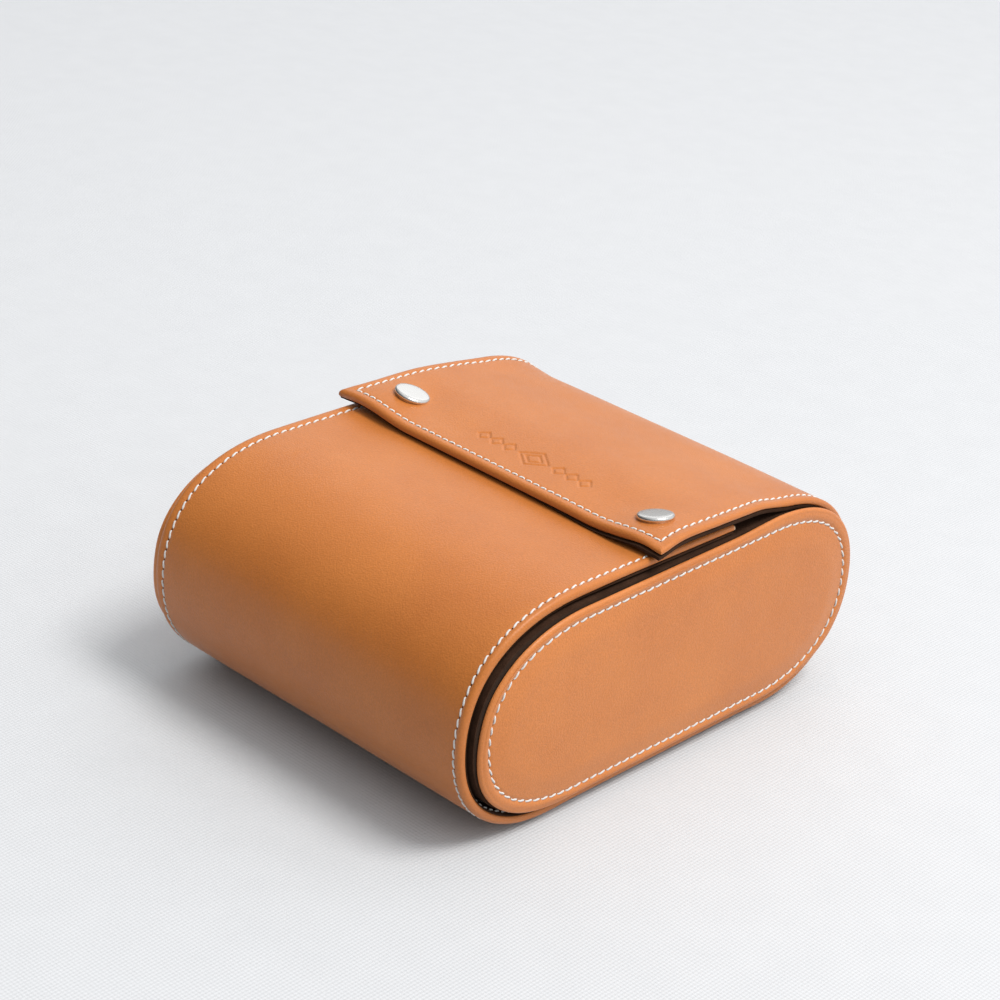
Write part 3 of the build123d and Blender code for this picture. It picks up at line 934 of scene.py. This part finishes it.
def build_tray_suede():
    """Suede that lines the tray and turns over the top of its wall."""
    _, (_, outer_y, top) = box("tray_shell")
    lining_low, lining_high = box("tray_lining")
    outer_y = outer_y - 0.15
    inside = trough_line(lining_low[2] + tray_suede, top - 0.6)
    inner_y = inside[-1, 0]
    front = [(-outer_y, top - 0.1), (-outer_y, top + 0.45), (-outer_y + 0.35, top + tray_suede)]
    front += [(-inner_y - 0.4, top + tray_suede), (-inner_y, top + 0.3)]
    back = [(-y, z) for y, z in front[::-1]]
    line = Path(front + list(inside) + back, blur=0.35, step=0.12)
    piece = ribbon("tray_suede_lining", line, lining_high[0] - 0.05, tray_suede, brown_suede, 0.12, 3.0)
    settle(piece, "tray_lining")


def build_felt():
    """Felt between the wrap and the tray."""
    high = box("base_padding")[1]
    line = Path(trough_line(wrap_thick + 0.4, high[2]), step=0.5)
    piece = ribbon("felt_padding", line, high[0], 1.7, grey_felt, 0.1, 5.0)
    settle(piece, "base_padding")


def upright(name, node, along, floor):
    """A suede-covered divider with a rounded top and slightly soft faces."""
    low, high = box(node)
    across = 1 - along
    thick = (high[across] - low[across]) / 2
    middle = (high[across] + low[across]) / 2
    start, end = low[along] + 0.05, high[along] - 0.05
    s = refined(start, end, 2.0, [(start, start + 1, 0.3), (end - 1, end, 0.3)])[:, None]
    rise = np.r_[np.linspace(0, 0.9, 14), 1 - 0.1 * np.cos(np.linspace(0, math.pi / 2, 9))][None, :]
    bottom = floor(s)
    s, z = np.broadcast_arrays(s, bottom + (high[2] - bottom) * rise)
    over = np.clip(thick - (high[2] - z), 0, thick)
    half = np.sqrt(np.clip(thick**2 - over**2, 0.01, None))
    half = half - 0.12 * bell(z - (high[2] - 3.5), 0.5)
    sides = []
    for sign in (1, -1):
        soft = half + 0.1 * ripple(s * 2, z * 2, 7.0 + sign) * (half > 0.8 * thick)
        point = [s, z]
        point.insert(across, middle + sign * soft)
        sides.append(np.stack(point, -1))
    settle(slab(name, *sides, 60, brown_suede), node)


def build_dividers():
    floor_inset = box("tray_lining")[0][2] + tray_suede
    line = trough_line(floor_inset, mid_z + 12)
    lower = line[np.argmin(line[:, 0]) : np.argmax(line[:, 0]) + 1]
    upright("centre_suede_divider", "centre_divider", 1, lambda y: np.interp(y, lower[:, 0], lower[:, 1]) + 0.03)
    upright("cross_suede_divider", "cross_divider", 0, lambda x: np.full_like(x, floor_inset + 0.03))


def swell(points, faces, voxel, limit):
    """Padding by cloth simulation: a closed form is remeshed and blown up, no point moving past limit.

    It is worked ten times larger than life, where cloth behaves well.
    """
    large = 0.01
    body = new_object("padding", mesh_from("padding", points, faces, large))
    remesh = body.modifiers.new("remesh", "REMESH")
    remesh.mode = "VOXEL"
    remesh.voxel_size = voxel * large

    def shape():
        made = body.evaluated_get(bpy.context.evaluated_depsgraph_get()).to_mesh()
        coords = np.empty(len(made.vertices) * 3)
        made.vertices.foreach_get("co", coords)
        return coords.reshape(-1, 3), [list(p.vertices) for p in made.polygons]

    before, cells = shape()
    body.modifiers.remove(remesh)
    body.data = mesh_from("padding_even", before, cells, 1)
    after = before
    cloth = body.modifiers.new("cloth", "CLOTH")
    cloth.settings.quality = 6
    cloth.settings.use_pressure = True
    cloth.settings.uniform_pressure_force = 4
    cloth.settings.effector_weights.gravity = 0
    for frame_number in range(1, 21):
        bpy.context.scene.frame_set(frame_number)
    after, _ = shape()
    bpy.context.scene.frame_set(1)
    body.modifiers.remove(cloth)
    move = after - before
    far = np.linalg.norm(move, axis=1)[:, None]
    move = move * np.minimum(1, limit * large / np.maximum(far, 1e-9))
    bpy.data.objects.remove(body)
    return (before + move) / large, cells


def softened(name, points, faces, material):
    """A padded piece with one level of subdivision applied."""
    piece = make_mesh(name, points, faces, 180, material)
    smoothing = piece.modifiers.new("smoothing", "SUBSURF")
    smoothing.levels = 1
    made = bpy.data.meshes.new_from_object(piece.evaluated_get(bpy.context.evaluated_depsgraph_get()))
    piece.modifiers.remove(smoothing)
    piece.data = made
    return piece


def build_ring_bed():
    """A padded bed under the ring rolls."""
    low, high = box("ring_bed")
    margin, count = 0.9, 96
    size = high - low
    turn = turns(count)
    squarish = np.c_[np.cos(turn), np.sin(turn)]
    squarish = np.sign(squarish) * np.abs(squarish) ** 0.22
    outline = []
    for inset, level in ((2.0, 0.06), (0.5, 0.2), (0.0, 0.5), (0.5, 0.82), (2.2, 0.98)):
        half = size[:2] / 2 - margin - inset
        outline.append(np.c_[(low + high)[:2] / 2 + squarish * half, np.full(count, low[2] + size[2] * level)])
    points, faces = swell(np.vstack(outline), tube_faces(len(outline), count), 3.0, 1.6)
    points[:, 2] = np.clip(points[:, 2], low[2] + 0.05, high[2] - 0.05)
    points[:, :2] = np.clip(points[:, :2], low[:2], high[:2])
    settle(softened("ring_bed_cushion", points, faces, brown_suede), "ring_bed")


def build_ring_rolls():
    """Plump rolls, each piped round its ends."""
    low, high = box("ring_rolls")
    slack, count, cord = 0.75, 40, 0.45
    radius = (high[2] - low[2]) / 2
    pitch = (high[1] - low[1] - 2 * radius) / (roll_count - 1)
    centres = [low[1] + radius + k * pitch for k in range(roll_count)]
    profile = [(0.0, 0.72), (0.02, 0.86), (0.06, 0.95), (0.14, 0.99), (0.3, 1.0), (0.5, 1.0)]
    profile += [(0.7, 1.0), (0.86, 0.99), (0.94, 0.95), (0.98, 0.86), (1.0, 0.72)]
    turn = turns(count)
    shapes = []
    for y in centres:
        rings = []
        for along, share in profile:
            x = low[0] + 0.8 + along * (high[0] - low[0] - 1.6)
            reach = (radius - slack) * share
            z = low[2] + radius + reach * np.sin(turn)
            rings.append(np.c_[np.full(count, x), y + reach * np.cos(turn), z])
        shapes.append((np.vstack(rings), tube_faces(len(rings), count)))
    points, faces = swell(*join_shapes(shapes), 2.0, 0.8)
    points[:, 2] = np.clip(points[:, 2], low[2] + 0.05, None)
    settle(softened("ring_roll_row", points, faces, pale_suede), "ring_rolls")

    cord_turn = np.linspace(0, 2 * math.pi, 9)
    outline = [(radius - slack + cord * math.cos(a), cord * math.sin(a)) for a in cord_turn]
    places = [np.array([x, y, low[2] + radius]) for y in centres for x in (low[0] + 1.6, high[0] - 1.6)]
    piping = join_shapes([lathe(outline, place, (1, 0, 0), count) for place in places])
    settle(make_mesh("ring_roll_piping", *piping, 90, brown_suede), "ring_rolls")


# ---- CAD pieces that are shown as they are
def dress_cad():
    """Inked board for the cores of the two ends, suede for the tray's wall."""
    for name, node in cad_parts.items():
        node.data.materials.clear()
        node.data.materials.append(inked_board if name.endswith("_board") else brown_suede)


# ---- stage
def build_stage():
    """A pale floor covered with fine cloth."""
    look = new_look("pale_floor")
    colour = look.ramp(look.noise(60, 4), (0.3, (0.755, 0.765, 0.785)), (0.7, (0.775, 0.785, 0.805)))
    threads = [look.noise(900, 2)]
    for direction in ("X", "Y"):
        inputs = {"Vector": look.coords["Object"], "Scale": 240, "Distortion": 0.6}
        threads.append(look.add("TexWave", inputs, bands_direction=direction).outputs["Fac"])
    # The floor throws back a darker grey than it shows: painted shade, which darkens the lower front of the case.
    thrown = look.bounce(colour, (0.50, 0.51, 0.53), 1.0)
    material = look.shade(thrown, 0.9, [(height, 0.0002, 0.35) for height in threads])
    bpy.ops.mesh.primitive_plane_add(size=12, location=(0, 0, 0))
    floor = bpy.context.object
    floor.name = "floor"
    floor.data.materials.append(material)


def area_light(name, place, target, size, power, colour):
    data = bpy.data.lights.new(name, "AREA")
    data.shape = "RECTANGLE"
    data.size, data.size_y = size
    data.energy = power
    data.color = colour
    light = new_object(name, data)
    light.location = place
    light.rotation_euler = (Vector(target) - Vector(place)).to_track_quat("-Z", "Y").to_euler()


def build_light():
    """A bright soft wall of light behind and to the right, and two soft lamps."""
    world = bpy.data.worlds.new("studio")
    bpy.context.scene.world = world
    look = Look(world)
    inputs = {0: look.coords["Generated"], 1: (0.40, 0.45, 0.80)}
    toward = look.add("VectorMath", inputs, operation="DOT_PRODUCT").outputs["Value"]
    inputs = {"Value": toward, "From Min": -0.35, "From Max": 1.0, "To Min": 0.06, "To Max": 0.95}
    spread = look.add("MapRange", inputs, interpolation_type="SMOOTHSTEP").outputs["Result"]
    look.put(look.nodes["Background"], {"Color": (0.97, 0.985, 1.0), "Strength": spread})
    area_light("key", (1.05, 0.38, 2.15), (0, 0, 0.03), (0.9, 0.9), 32, (1.0, 0.985, 0.96))
    area_light("card", (-1.3, 1.5, 0.95), (0, 0, 0.08), (1.8, 1.2), 4.2, (1.0, 1.0, 1.0))


def build_camera():
    """The camera stands front right of the case and above it, and leans a little."""
    azimuth, elevation, roll = math.radians(42.508), math.radians(27.772), math.radians(4.248)
    distance = 0.8659
    right = Vector((math.cos(azimuth), math.sin(azimuth), 0))
    level = math.cos(elevation)
    back = Vector((math.sin(azimuth) * level, -math.cos(azimuth) * level, math.sin(elevation)))
    data = bpy.data.cameras.new("camera")
    data.sensor_width = 36
    data.lens = 91.8
    data.shift_x, data.shift_y = -0.0105, 0.0729
    data.clip_start = 0.01
    camera = new_object("camera", data)
    turn = Matrix((right, back.cross(right), back)).transposed() @ Matrix.Rotation(roll, 3, "Z")
    camera.matrix_world = Matrix.Translation(Vector((0, 0, mid_z * mm)) + back * distance) @ turn.to_4x4()
    bpy.context.scene.camera = camera


build_wrap()
build_wrap_stitching()
build_ends()
build_snaps()
build_tray_suede()
build_felt()
build_dividers()
build_ring_bed()
build_ring_rolls()
dress_cad()
build_stage()
build_light()
build_camera()
bpy.context.scene.view_settings.view_transform = "Standard"
